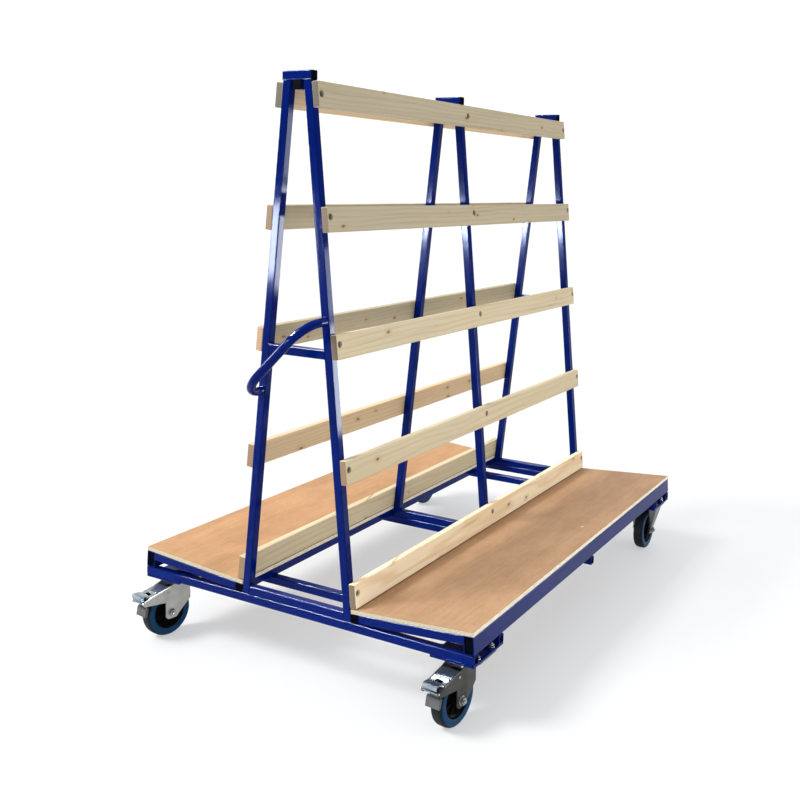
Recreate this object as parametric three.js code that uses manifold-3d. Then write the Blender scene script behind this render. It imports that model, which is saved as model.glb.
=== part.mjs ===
import * as THREE from 'three';
import { mergeVertices } from 'three/addons/utils/BufferGeometryUtils.js';
import Module from 'manifold-3d';

const wasm = await Module();
wasm.setup();

// A double-sided cart for sheet goods. Millimetres, +Z up, floor at z = 0.
// The handle end faces -Y and the right-hand deck is on +X.

// Steel tube
const tube = 25;
const wall = 2;
const cornerRadius = 2.5;
const cornerSteps = 2;

// Chassis
const frameLength = 1630;
const chassisWidth = 1140;
const chassisBottom = 185;
const casterPitch = 167;

// A-frames
const totalHeight = 1685;
const capLength = 96;
const legTopHalf = 46.5;
const legSlope = 0.1;
const crossbarHeight = 936;

// Rails
const railTall = 68;
const railThick = 21;
const bottomRailTop = 318;
const railPitch = 337;
const topRailDrop = 5;
const railHoleRadius = 9.5;
const railHoleDepth = 9;
const railHoleDrop = 26.5;
const topRailHoleDrop = 34;

// Decks
const deckTilt = THREE.MathUtils.degToRad(4);
const deckInset = 2;
const plyThick = 12;
const outerTubeTall = 50;
const outerTubeWide = 30;

// Handle
const handleRadius = 12.5;
const handleReach = 92;
const handleUpperBend = 68;
const handleLowerBend = 90;
const handleUpper = 1026;
const handleLower = 814.5;
const handleSteps = 32;
const handleSides = 14;

// Casters
const wheelRadius = 75;
const wheelHalf = 19;
const hubHalf = 23;
const axleRadius = 6;
const swivelOffset = 62;
const casterInset = 66;
const padLength = 130;
const padWidth = 105;
const padThick = 4;
const mountThick = 6;
const boltRadius = 4.5;
const boltSpanX = 105;
const boltSpanY = 80;
const forkGap = 27;
const forkThick = 3;
const pedalReach = 165;
// Turn of each swivel caster about its kingpin as the cart stands
const swivelTurn = { left: THREE.MathUtils.degToRad(-10), right: THREE.MathUtils.degToRad(-6) };

// Sides of round parts
const discSides = 28;
const pinSides = 14;
const holeSides = 10;
const hexSides = 6;
const wheelSides = 32;

// Clearances
const fit = 0.2;
const loose = 0.5;

// Positions that follow from the dimensions above
const frontFace = -frameLength / 2;
const chassisTop = chassisBottom + tube;
const capBottom = totalHeight - tube;
const lean = Math.atan(legSlope);
const legWide = tube / Math.cos(lean);
const legOuter = (z) => legTopHalf + legSlope * (capBottom - z);
const legInner = (z) => legOuter(z) - legWide;
const frameY = { front: frontFace + tube / 2, middle: 0, rear: -frontFace - tube / 2 };
const casterX = chassisWidth / 2 - casterInset;
const swivelY = frontFace + casterPitch / 2;
const handleFront = frontFace - fit - handleReach - handleRadius;
const foremost = Math.min(swivelY - pedalReach, handleFront);
const originShift = (frontFace - foremost) / 2;

const paints = {
  blue: { color: 0x0b1f7a, roughness: 0.28, metalness: 0.1 },
  pine: { color: 0xd2bd92, roughness: 0.7, metalness: 0 },
  ply: { color: 0xc79c74, roughness: 0.6, metalness: 0 },
  zinc: { color: 0xa9a9a2, roughness: 0.35, metalness: 0.9 },
  tyre: { color: 0x1f2a33, roughness: 0.75, metalness: 0 },
};

const cart = new THREE.Group();
cart.name = 'sheet_goods_cart';

// Every surface faces outward
function facingOut(geometry) {
  const plain = geometry.clone();
  plain.deleteAttribute('normal');
  plain.deleteAttribute('uv');
  const merged = mergeVertices(plain, 1e-4);
  const at = merged.attributes.position;
  const index = merged.index.array;
  const a = new THREE.Vector3();
  const b = new THREE.Vector3();
  const c = new THREE.Vector3();
  let volume = 0;
  for (let i = 0; i < index.length; i += 3) {
    a.fromBufferAttribute(at, index[i]);
    b.fromBufferAttribute(at, index[i + 1]);
    c.fromBufferAttribute(at, index[i + 2]);
    volume += a.dot(b.cross(c));
  }
  if (volume < 0) {
    for (let i = 0; i < index.length; i += 3) {
      [index[i], index[i + 1]] = [index[i + 1], index[i]];
    }
  }
  return merged;
}

function solid(geometry) {
  const merged = facingOut(geometry);
  return new wasm.Manifold(new wasm.Mesh({
    numProp: 3,
    vertProperties: new Float32Array(merged.attributes.position.array),
    triVerts: new Uint32Array(merged.index.array),
  }));
}

function surface(body) {
  const mesh = body.getMesh();
  const geometry = new THREE.BufferGeometry();
  geometry.setAttribute('position', new THREE.BufferAttribute(new Float32Array(mesh.vertProperties), 3));
  geometry.setIndex(new THREE.BufferAttribute(new Uint32Array(mesh.triVerts), 1));
  return geometry;
}

function addPart(name, geometry, paint) {
  const placed = facingOut(geometry);
  placed.translate(0, originShift, 0);
  placed.computeVertexNormals();
  const mesh = new THREE.Mesh(placed, new THREE.MeshStandardMaterial(paints[paint]));
  mesh.name = name;
  cart.add(mesh);
}

// A block between two opposite corners
function block(x0, x1, y0, y1, z0, z1) {
  const box = new THREE.BoxGeometry(x1 - x0, y1 - y0, z1 - z0);
  box.translate((x0 + x1) / 2, (y0 + y1) / 2, (z0 + z1) / 2);
  return box;
}

function polygon(points) {
  return new THREE.Shape(points.map(([x, y]) => new THREE.Vector2(x, y)));
}

// Hollow tube section with rounded outer corners
function tubeSection(wide, tall) {
  const x = wide / 2 - cornerRadius;
  const y = tall / 2 - cornerRadius;
  const outline = [];
  [[x, y], [-x, y], [-x, -y], [x, -y]].forEach(([u, v], corner) => {
    for (let step = 0; step <= cornerSteps; step += 1) {
      const turn = (corner + step / cornerSteps) * Math.PI / 2;
      outline.push([u + cornerRadius * Math.cos(turn), v + cornerRadius * Math.sin(turn)]);
    }
  });
  const shape = polygon(outline);
  const inX = wide / 2 - wall;
  const inY = tall / 2 - wall;
  shape.holes.push(polygon([[-inX, -inY], [-inX, inY], [inX, inY], [inX, -inY]]));
  return shape;
}

function straightTube(wide, tall, length) {
  return new THREE.ExtrudeGeometry(tubeSection(wide, tall), { depth: length, bevelEnabled: false });
}

// Tube across the cart between two ends
function tubeAcross(x0, x1, y, z) {
  const geometry = straightTube(tube, tube, x1 - x0);
  geometry.rotateY(Math.PI / 2);
  geometry.translate(x0, y, z);
  return geometry;
}

function tubeAlong(wide, tall, length) {
  const geometry = straightTube(wide, tall, length);
  geometry.rotateX(Math.PI / 2);
  geometry.translate(0, length / 2, 0);
  return geometry;
}

// Profile drawn in the side view (y, z) and given a thickness across the cart
function sidePlate(points, x0, x1) {
  const geometry = new THREE.ExtrudeGeometry(polygon(points), { depth: x1 - x0, bevelEnabled: false });
  const turn = new THREE.Matrix4().makeBasis(
    new THREE.Vector3(0, 1, 0), new THREE.Vector3(0, 0, 1), new THREE.Vector3(1, 0, 0));
  geometry.applyMatrix4(turn);
  geometry.translate(x0, 0, 0);
  return geometry;
}

// Profile drawn in the front view (x, z) and given a thickness along the cart
function frontPlate(points, y0, y1) {
  const geometry = new THREE.ExtrudeGeometry(polygon(points), { depth: y1 - y0, bevelEnabled: false });
  geometry.rotateX(Math.PI / 2);
  geometry.translate(0, y1, 0);
  return geometry;
}

function pinAcross(radius, x0, x1, y, z, sides = pinSides) {
  const geometry = new THREE.CylinderGeometry(radius, radius, x1 - x0, sides);
  geometry.rotateZ(Math.PI / 2);
  geometry.translate((x0 + x1) / 2, y, z);
  return geometry;
}

function pinUpright(radius, x, y, z0, z1, sides) {
  const geometry = new THREE.CylinderGeometry(radius, radius, z1 - z0, sides);
  geometry.rotateX(Math.PI / 2);
  geometry.translate(x, y, (z0 + z1) / 2);
  return geometry;
}

// A-frame legs lean outward going down; level cuts at the cap and at the chassis
function leg(side, y) {
  const height = capBottom - chassisTop;
  const geometry = straightTube(legWide, tube, height);
  geometry.applyMatrix4(new THREE.Matrix4().set(
    1, 0, side * -legSlope, 0,
    0, 1, 0, 0,
    0, 0, 1, 0,
    0, 0, 0, 1));
  geometry.translate(side * (legOuter(chassisTop) - legWide / 2), y, chassisTop);
  return geometry;
}

// Bar between the two legs, its ends cut to the lean
function barBetweenLegs(y, z) {
  const low = z - tube / 2;
  const high = z + tube / 2;
  const reach = legInner(low) + tube;
  const between = frontPlate([
    [-legInner(low) + fit, low - tube], [legInner(low) - fit, low - tube],
    [legInner(low) - fit, low], [legInner(high) - fit, high],
    [legInner(high) - fit, high + tube], [-legInner(high) + fit, high + tube],
    [-legInner(high) + fit, high], [-legInner(low) + fit, low]], y - tube, y + tube);
  return surface(solid(tubeAcross(-reach, reach, y, z)).intersect(solid(between)));
}

for (const place of ['front', 'middle', 'rear']) {
  const y = frameY[place];
  addPart(`leg_${place}_left`, leg(-1, y), 'blue');
  addPart(`leg_${place}_right`, leg(1, y), 'blue');
  const cap = tubeAcross(-capLength / 2, capLength / 2, y, totalHeight - tube / 2);
  addPart(`cap_tube_${place}`, cap, 'blue');
  addPart(`foot_tube_${place}`, barBetweenLegs(y, chassisTop + tube / 2), 'blue');
}
for (const place of ['front', 'rear']) {
  addPart(`crossbar_${place}`, barBetweenLegs(frameY[place], crossbarHeight), 'blue');
}

// Ridge tube under the caps
const ridge = tubeAlong(tube, tube, frameLength);
ridge.translate(0, 0, capBottom - tube / 2);
addPart('ridge_tube', ridge, 'blue');

// Lower cross tubes
const innerPairY = -frontFace - casterPitch + tube / 2;
const crossTubes = {
  cross_tube_front: frameY.front,
  cross_tube_front_inner: -innerPairY,
  cross_tube_middle: frameY.middle,
  cross_tube_rear_inner: innerPairY,
  cross_tube_rear: frameY.rear,
};
for (const [name, y] of Object.entries(crossTubes)) {
  addPart(name, tubeAcross(-chassisWidth / 2, chassisWidth / 2, y, chassisBottom + tube / 2), 'blue');
}

// Timber rails on the outer faces of the legs, with a counterbore at each leg
const railTops = [capBottom - topRailDrop];
for (const row of [3, 2, 1, 0]) {
  railTops.push(bottomRailTop + row * railPitch);
}

function rail(side, top, holeDrop) {
  let body = solid(block(0, railThick, frontFace, -frontFace, -railTall, 0));
  for (const y of Object.values(frameY)) {
    const hole = pinAcross(railHoleRadius, railThick - railHoleDepth, 2 * railThick, y, -holeDrop);
    body = body.subtract(solid(hole));
  }
  const geometry = surface(body);
  geometry.rotateY(-lean);
  geometry.translate(legOuter(top) + fit, 0, top);
  if (side < 0) {
    geometry.scale(-1, 1, 1);
  }
  return geometry;
}
railTops.forEach((top, row) => {
  const holeDrop = row === 0 ? topRailHoleDrop : railHoleDrop;
  addPart(`rail_left_${row + 1}`, rail(-1, top, holeDrop), 'pine');
  addPart(`rail_right_${row + 1}`, rail(1, top, holeDrop), 'pine');
});

// Decks: drawn flat from the leg outward, then tilted
// and set down so that the tall outer tube rests on the cross tubes
const deckStart = legOuter(chassisTop) + loose;
const deckDepth = (chassisWidth / 2 - deckInset - deckStart) / Math.cos(deckTilt);
const outerHang = (outerTubeTall - tube) * Math.cos(deckTilt);
const outerRise = (deckDepth - outerTubeWide) * Math.sin(deckTilt);
const deckSeat = chassisTop + outerHang - outerRise + fit;
function ontoDeck(geometry, side) {
  geometry.rotateY(-deckTilt);
  geometry.translate(deckStart, 0, deckSeat);
  if (side < 0) {
    geometry.scale(-1, 1, 1);
  }
  return geometry;
}
for (const [name, side] of [['left', -1], ['right', 1]]) {
  const ply = block(0, deckDepth, frontFace, -frontFace, tube + fit, tube + fit + plyThick);
  addPart(`deck_${name}`, ontoDeck(ply, side), 'ply');

  const inner = tubeAlong(tube, tube, frameLength);
  inner.translate(tube / 2, 0, tube / 2);
  addPart(`deck_inner_tube_${name}`, ontoDeck(inner, side), 'blue');

  const outer = tubeAlong(outerTubeWide, outerTubeTall, frameLength);
  outer.translate(deckDepth - outerTubeWide / 2, 0, tube - outerTubeTall / 2);
  addPart(`deck_outer_tube_${name}`, ontoDeck(outer, side), 'blue');

  for (const place of ['front', 'rear']) {
    const cross = tubeAcross(tube + fit, deckDepth - outerTubeWide - fit, frameY[place], tube / 2);
    addPart(`deck_cross_tube_${place}_${name}`, ontoDeck(cross, side), 'blue');
  }
}

// Handle: one bent tube from the right leg, out, down across the front and back to the left leg
const roundBend = 0.5523;

// Quarter turn between two square directions away from a corner
function quarterBend(corner, from, to, radius) {
  const start = corner.clone().addScaledVector(from, radius);
  const end = corner.clone().addScaledVector(to, radius);
  const nearStart = corner.clone().addScaledVector(from, radius * (1 - roundBend));
  const nearEnd = corner.clone().addScaledVector(to, radius * (1 - roundBend));
  return new THREE.CubicBezierCurve3(start, nearStart, nearEnd, end);
}

function handle() {
  const upper = new THREE.Vector3(legOuter(handleUpper) - legWide / 2, frontFace - fit, handleUpper);
  const lower = new THREE.Vector3(-legOuter(handleLower) + legWide / 2, frontFace - fit, handleLower);
  const back = new THREE.Vector3(0, 1, 0);
  const upperCorner = upper.clone().addScaledVector(back, -handleReach);
  const lowerCorner = lower.clone().addScaledVector(back, -handleReach);
  const across = lowerCorner.clone().sub(upperCorner).normalize();
  const upperTurn = quarterBend(upperCorner, back, across, handleUpperBend);
  const lowerTurn = quarterBend(lowerCorner, across.clone().negate(), back, handleLowerBend);
  const path = new THREE.CurvePath();
  path.add(new THREE.LineCurve3(upper, upperTurn.v0));
  path.add(upperTurn);
  path.add(new THREE.LineCurve3(upperTurn.v3, lowerTurn.v0));
  path.add(lowerTurn);
  path.add(new THREE.LineCurve3(lowerTurn.v3, lower));
  const section = new THREE.Shape().absarc(0, 0, handleRadius, 0, 2 * Math.PI);
  section.holes.push(new THREE.Path().absarc(0, 0, handleRadius - wall, 0, 2 * Math.PI, true));
  return new THREE.ExtrudeGeometry(section, {
    steps: handleSteps, extrudePath: path, bevelEnabled: false, curveSegments: handleSides / 2,
  });
}
addPart('handle', handle(), 'blue');

// Casters
function drilled(body, x, y, z0, z1) {
  let plate = body;
  for (const dx of [-boltSpanX / 2, boltSpanX / 2]) {
    for (const dy of [-boltSpanY / 2, boltSpanY / 2]) {
      const hole = pinUpright(boltRadius, x + dx, y + dy, z0 - loose, z1 + loose, holeSides);
      plate = plate.subtract(solid(hole));
    }
  }
  return plate;
}

// Plate welded under a pair of cross tubes, with the caster's own top plate bolted below it
const mountBottom = chassisBottom - mountThick;
const padBottom = mountBottom - padThick;

function mountPlate(x, y) {
  const half = casterPitch / 2;
  const outward = Math.sign(x);
  const ends = [outward * chassisWidth / 2, outward * (casterX - padLength / 2)].sort((a, b) => a - b);
  const body = solid(block(ends[0], ends[1], y - half, y + half, mountBottom, chassisBottom));
  return surface(drilled(body, x, y, mountBottom, chassisBottom));
}

function pad(x, y) {
  const halfX = padLength / 2;
  const halfY = padWidth / 2;
  const plate = block(x - halfX, x + halfX, y - halfY, y + halfY, padBottom, mountBottom);
  return drilled(solid(plate), x, y, padBottom, mountBottom);
}

// Swivel race and kingpin below the top plate
const raceRadius = 34;
const raceTall = 8;
const raceBottom = padBottom - raceTall;
const webTop = raceBottom - loose;
const webThick = 7;
const headRadius = 37;
const kingpinRadius = 8;
const kingpinNutRadius = 12;
const kingpinNutTall = 9;
const kingpinNutTop = webTop - webThick - loose;
const kingpinBottom = kingpinNutTop - kingpinNutTall;

function swivelPlate(x, y) {
  const race = pinUpright(raceRadius, x, y, raceBottom, padBottom, discSides);
  const pin = pinUpright(kingpinRadius, x, y, kingpinBottom, raceBottom + loose, pinSides);
  const nut = pinUpright(kingpinNutRadius, x, y, kingpinBottom, kingpinNutTop, hexSides);
  return surface(pad(x, y).add(solid(race)).add(solid(pin)).add(solid(nut)));
}

// Side view of the swivel caster: y from the kingpin, z from the floor.
// A leg narrows to the axle and a wing reaches over the wheel under a curved crest.
const eyeY = -swivelOffset;
const forkBack = 9;
const forkEye = 18;
const legAhead = 20.5;
const legBehind = 27;
const toe = { ahead: 12.5, behind: 16, rise: 9 };
const heelRise = 26;
const heelDrop = 7.5;
const wingEnd = -163.5;
const wingTop = webTop - 33;
const wingRoot = webTop - 55;
const wingTip = { back: 8.5, rise: 9.5, edge: 2.5 };
const crestStart = -67;
const crestTop = webTop - 9;
const crestBulge = 2.3;
const shoulder = 21;
const crest = (y) => {
  const along = (y - wingEnd) / (crestStart - wingEnd);
  return wingTop + along * (crestTop - wingTop) + 4 * crestBulge * along * (1 - along);
};
const crestSteps = [-140, -115, -90, crestStart];

const forkSide = [
  [forkBack, webTop], [forkBack, wheelRadius + heelRise], [eyeY + legBehind, wheelRadius - heelDrop],
  [eyeY + toe.behind, wheelRadius - forkEye], [eyeY - toe.ahead, wheelRadius - forkEye],
  [eyeY - legAhead, wheelRadius - forkEye + toe.rise], [eyeY - legAhead, wingRoot],
  [wingEnd + wingTip.back, wingRoot + wingTip.rise], [wingEnd, wingTop - wingTip.edge], [wingEnd, wingTop],
  ...crestSteps.map((y) => [y, crest(y)]), [crestStart + shoulder, webTop],
];

// Foot brake hinge: stub pins in the wings, outside the wheel
const pedalPin = 4;
const pedalHinge = { y: eyeY - 12, z: webTop - 23.5 };

function fork(x, y) {
  const shape = forkSide.map(([dy, z]) => [y + dy, z]);
  const edge = forkGap + forkThick;
  const inner = sidePlate(shape, x - edge, x - forkGap);
  const outer = sidePlate(shape, x + forkGap, x + edge);
  const web = block(x - edge, x + edge, y - raceRadius, y + forkBack, webTop - webThick, webTop);
  const head = pinUpright(headRadius, x, y, webTop - webThick, webTop, discSides);
  const kingpinHole = pinUpright(kingpinRadius + loose, x, y, wheelRadius, chassisBottom, pinSides);
  const axleHole = pinAcross(axleRadius + fit, x - 2 * edge, x + 2 * edge, y + eyeY, wheelRadius);
  const pedalHole = pinAcross(pedalPin + fit, x - 2 * edge, x + 2 * edge, y + pedalHinge.y, pedalHinge.z);
  let body = solid(web).add(solid(head)).add(solid(inner)).add(solid(outer));
  for (const hole of [kingpinHole, axleHole, pedalHole]) {
    body = body.subtract(solid(hole));
  }
  return surface(body);
}

// Axle bolt with its head and nut outside the fork
const boltHead = 10;
const boltHeadThick = 8;
function axle(x, y) {
  const edge = forkGap + forkThick + fit;
  const shank = pinAcross(axleRadius, x - edge - loose, x + edge + loose, y, wheelRadius);
  const head = pinAcross(boltHead, x - edge - boltHeadThick, x - edge, y, wheelRadius, hexSides);
  const nut = pinAcross(boltHead, x + edge, x + edge + boltHeadThick, y, wheelRadius, hexSides);
  return surface(solid(shank).add(solid(head)).add(solid(nut)));
}

// Tyre with rounded shoulders on a dished hub
const tyreTall = 23;
const shoulderDrop = 2;
const sidewallDrop = 7;
const treadHalf = 0.5 * wheelHalf;
const shoulderHalf = 0.8 * wheelHalf;
const rimHalf = 0.85 * wheelHalf;
const dishHalf = 0.5 * wheelHalf;
const hubRadius = 18;
const hubFlare = 3;
function wheel(x, y) {
  const rim = wheelRadius - tyreTall;
  const half = [
    [wheelRadius, treadHalf], [wheelRadius - shoulderDrop, shoulderHalf],
    [wheelRadius - sidewallDrop, wheelHalf], [rim, wheelHalf], [rim - shoulderDrop, rimHalf],
    [rim - sidewallDrop, dishHalf], [hubRadius + hubFlare, dishHalf],
    [hubRadius, hubHalf], [axleRadius + loose, hubHalf],
  ];
  const profile = half.map(([r, w]) => new THREE.Vector2(r, w)).reverse();
  profile.push(...half.map(([r, w]) => new THREE.Vector2(r, -w)));
  profile.push(profile[0].clone());
  const geometry = new THREE.LatheGeometry(profile, wheelSides);
  geometry.rotateZ(Math.PI / 2);
  geometry.translate(x, y, wheelRadius);
  return geometry;
}

// Foot brake: a cover hinged between the fork wings on two cheeks, two lips at its end
// and a block hanging in front of the tread
const coverThick = 4;
const coverBack = -70;
const cheekThick = 2.5;
const cheekDrop = 14;
const lipRoot = { y: -131, rise: 5 };
const lipTop = wingTop + 17.5;
const lipThick = 3.5;
const lipGap = 6;
const shoe = { back: -142.5, front: -151.5, bottom: 82, top: 110, half: 21, stem: 10, nose: 6, lean: 4.5 };
const stemRise = { low: 23, high: 33 };

function pedal(x, y) {
  const half = forkGap - 4 * loose;
  const place = (points) => points.map(([dy, z]) => [y + dy, z]);
  const top = (dy) => [dy, crest(dy)];
  const under = (dy) => [dy, crest(dy) - coverThick];
  const [tip, middle, root] = crestSteps;
  const lipBack = lipRoot.y - lipGap;
  const lipFloor = lipBack - lipGap;
  const cover = place([
    top(coverBack), under(coverBack), under(root), under(middle), under(tip),
    [-pedalReach, wingTop - coverThick], [-pedalReach, wingTop],
    top(lipFloor), [lipFloor, lipTop - 2 * lipThick],
    [-pedalReach, lipTop - lipThick], [-pedalReach, lipTop],
    [lipBack, crest(lipBack) + lipRoot.rise], top(lipRoot.y), top(middle), top(root),
  ]);
  const cheekLow = pedalHinge.z - 1.5 * pedalPin;
  const cheek = place([
    top(coverBack), [coverBack, cheekLow], [pedalHinge.y - 2 * pedalPin, cheekLow],
    [tip, crest(tip) - cheekDrop], top(tip), top(middle), top(root),
  ]);
  const stemFront = shoe.back + shoe.stem;
  const hung = place([
    [shoe.back, shoe.bottom], [shoe.front + shoe.nose / 3, shoe.bottom],
    [shoe.front, shoe.bottom + shoe.nose], [shoe.front + shoe.lean, shoe.top],
    [shoe.back, shoe.top + loose], [shoe.back, crest(shoe.back) - loose],
    [stemFront, crest(stemFront) - loose], [stemFront, shoe.bottom + stemRise.high],
    [shoe.back + shoe.nose, shoe.bottom + stemRise.low],
  ]);
  const brakeBlock = solid(sidePlate(hung, x - shoe.half, x + shoe.half));
  let body = solid(sidePlate(cover, x - half, x + half)).add(brakeBlock);
  for (const side of [-1, 1]) {
    const across = (from, to) => [x + side * from, x + side * to].sort((a, b) => a - b);
    const stubEnds = across(half - cheekThick / 2, forkGap + forkThick);
    const stub = pinAcross(pedalPin, ...stubEnds, y + pedalHinge.y, pedalHinge.z);
    body = body.add(solid(sidePlate(cheek, ...across(half - cheekThick, half)))).add(solid(stub));
  }
  return surface(body);
}

// Rigid bracket: legs spread from the axle up to the edge of the top plate
const legHalfTop = 34;
const legHalfLow = 14;
const bracketSplay = 0.27;
const bracketGap = 29;
function bracket(x, y) {
  const low = wheelRadius - forkEye;
  const high = padBottom;
  const shape = [
    [y - legHalfTop, high], [y - legHalfLow, low], [y + legHalfLow, low], [y + legHalfTop, high],
  ];
  let body = pad(x, y);
  for (const side of [-1, 1]) {
    const plate = sidePlate(shape, -forkThick / 2, forkThick / 2);
    plate.applyMatrix4(new THREE.Matrix4().set(
      1, 0, side * bracketSplay, 0,
      0, 1, 0, 0,
      0, 0, 1, 0,
      0, 0, 0, 1));
    plate.translate(x + side * (bracketGap + forkThick / 2 - bracketSplay * wheelRadius), 0, 0);
    body = body.add(solid(plate));
  }
  const edge = bracketGap + 3 * forkThick;
  body = body.add(solid(pinAcross(axleRadius, x - edge, x + edge, y, wheelRadius)));
  return surface(body);
}

// Turned about the kingpin, as the swivel casters stand
function turned(geometry, x, turn) {
  geometry.translate(-x, -swivelY, 0);
  geometry.rotateZ(turn);
  geometry.translate(x, swivelY, 0);
  return geometry;
}

for (const [name, side] of [['left', -1], ['right', 1]]) {
  const x = side * casterX;
  const turn = swivelTurn[name];
  addPart(`caster_mount_front_${name}`, mountPlate(x, swivelY), 'blue');
  addPart(`swivel_plate_${name}`, swivelPlate(x, swivelY), 'zinc');
  addPart(`swivel_fork_${name}`, turned(fork(x, swivelY), x, turn), 'zinc');
  addPart(`axle_front_${name}`, turned(axle(x, swivelY - swivelOffset), x, turn), 'zinc');
  addPart(`wheel_front_${name}`, turned(wheel(x, swivelY - swivelOffset), x, turn), 'tyre');
  addPart(`brake_pedal_${name}`, turned(pedal(x, swivelY), x, turn), 'zinc');
  addPart(`caster_mount_rear_${name}`, mountPlate(x, -swivelY), 'blue');
  addPart(`rigid_bracket_${name}`, bracket(x, -swivelY), 'zinc');
  addPart(`wheel_rear_${name}`, wheel(x, -swivelY), 'tyre');
}

export default cart;
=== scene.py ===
import math

import bmesh
import bpy
from mathutils import Matrix, Vector


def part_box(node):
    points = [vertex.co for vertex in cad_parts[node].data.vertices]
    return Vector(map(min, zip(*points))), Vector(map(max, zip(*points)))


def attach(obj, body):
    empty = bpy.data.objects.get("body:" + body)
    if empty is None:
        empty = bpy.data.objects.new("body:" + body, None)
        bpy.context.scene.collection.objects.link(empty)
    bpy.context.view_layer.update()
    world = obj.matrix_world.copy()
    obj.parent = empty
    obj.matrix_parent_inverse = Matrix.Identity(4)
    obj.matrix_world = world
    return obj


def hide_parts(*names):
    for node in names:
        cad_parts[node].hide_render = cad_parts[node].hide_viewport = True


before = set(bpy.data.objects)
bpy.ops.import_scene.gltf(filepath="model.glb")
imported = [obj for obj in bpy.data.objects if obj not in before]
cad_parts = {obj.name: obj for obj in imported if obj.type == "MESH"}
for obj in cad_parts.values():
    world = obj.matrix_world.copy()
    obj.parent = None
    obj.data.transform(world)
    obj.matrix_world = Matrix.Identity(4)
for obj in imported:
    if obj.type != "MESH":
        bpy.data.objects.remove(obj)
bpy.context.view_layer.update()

print("frame loaded:", len(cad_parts), "nodes")

# lengths in metres, shared by the pieces below
cart = dict(
    tube=0.025,
    tubeRadius=0.0026,
    slope=0.1,
    tilt=math.radians(4),
    legTopHalf=0.0465,
    capBottom=1.66,
    chassisTop=0.21,
    chassisBottom=0.185,
    fit=0.0002,
    plugFlange=0.0028,
    pitch=0.167,
)


def boxOf(node):
    low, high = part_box(node)
    return Vector(low), Vector(high)


frontY, rearY = (corner.y for corner in boxOf("ridge_tube"))
centreY = (frontY + rearY) / 2
lean = math.atan(cart["slope"])
tube = cart["tube"]
legWide = tube / math.cos(lean)
flange = cart["plugFlange"]
sides = (("left", -1), ("right", 1))
frames = ("front", "middle", "rear")


def legOuter(z):
    return cart["legTopHalf"] + cart["slope"] * (cart["capBottom"] - z)


# materials


def feed(material, value, socket):
    # a link from another node, or the socket's own value
    if isinstance(value, bpy.types.NodeSocket):
        material.node_tree.links.new(value, socket)
    else:
        socket.default_value = value


def feedAll(material, node, inputs):
    for key, value in inputs.items():
        feed(material, value, node.inputs[key.replace("_", " ")])


def setShader(material, **inputs):
    feedAll(material, material.node_tree.nodes["Principled BSDF"], inputs)


def startMaterial(name, **inputs):
    material = bpy.data.materials.new(name)
    material.use_nodes = True
    setShader(material, **inputs)
    return material


def addNode(material, kind, settings=None, **inputs):
    made = material.node_tree.nodes.new(kind)
    for key, value in (settings or {}).items():
        setattr(made, key, value)
    feedAll(material, made, inputs)
    return made


def objectPoint(material, scale=(1, 1, 1), move=(0, 0, 0)):
    point = addNode(material, "ShaderNodeTexCoord").outputs["Object"]
    mapping = addNode(material, "ShaderNodeMapping", Vector=point, Scale=scale, Location=move)
    return mapping.outputs["Vector"]


def noiseAt(material, vector, scale, detail=3.0, roughness=0.55):
    made = addNode(material, "ShaderNodeTexNoise", Vector=vector, Scale=scale, Detail=detail,
                   Roughness=roughness)
    return made.outputs["Fac"]


def rampAt(material, factor, *stops):
    made = addNode(material, "ShaderNodeValToRGB", Fac=factor)
    ramp = made.color_ramp
    while len(ramp.elements) < len(stops):
        ramp.elements.new(0.5)
    for element, (place, colour) in zip(ramp.elements, stops):
        element.position = place
        element.color = (*colour, 1)
    return made.outputs["Color"]


def rangeAt(material, value, low, high, fromLow=0.0, fromHigh=1.0):
    made = addNode(material, "ShaderNodeMapRange", Value=value, From_Min=fromLow, From_Max=fromHigh,
                   To_Min=low, To_Max=high)
    return made.outputs["Result"]


def mixColour(material, factor, a, b, blend="MIX"):
    made = addNode(material, "ShaderNodeMix", dict(data_type="RGBA", blend_type=blend))
    for place, value in ((0, factor), (6, a), (7, b)):
        feed(material, (*value, 1) if isinstance(value, tuple) else value, made.inputs[place])
    return made.outputs[2]


def calculate(material, operation, a, b):
    made = addNode(material, "ShaderNodeMath", dict(operation=operation))
    for socket, value in zip(made.inputs, (a, b)):
        feed(material, value, socket)
    return made.outputs[0]


def addBump(material, height, strength, distance):
    bump = addNode(material, "ShaderNodeBump", Height=height, Strength=strength, Distance=distance)
    setShader(material, Normal=bump.outputs["Normal"])


def makeBluePaint():
    material = startMaterial("bluePaint", Specular_IOR_Level=0.07, Specular_Tint=(0.62, 0.74, 1.0, 1.0))
    broad = noiseAt(material, objectPoint(material), 5.0)
    colour = rampAt(material, broad, (0.3, (0.0002, 0.0072, 0.098)), (0.7, (0.0004, 0.0098, 0.132)))
    setShader(material, Base_Color=colour)
    smears = noiseAt(material, objectPoint(material), 38.0)
    setShader(material, Roughness=rangeAt(material, smears, 0.05, 0.1))
    peel = noiseAt(material, objectPoint(material), 420.0, detail=1.0)
    addBump(material, peel, 0.03, 0.0005)
    return material


def makeEndGrain(name, early, late):
    material = startMaterial(name, Roughness=0.75, Specular_IOR_Level=0.04)
    rings = addNode(material, "ShaderNodeTexWave", dict(wave_type="RINGS", rings_direction="Y"),
                    Vector=objectPoint(material, move=(0.02, 0, 0.03)), Scale=70.0, Distortion=2.0,
                    Detail=2.0)
    colour = rampAt(material, rings.outputs["Fac"], (0.2, early), (0.8, late))
    setShader(material, Base_Color=colour)
    return material


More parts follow.
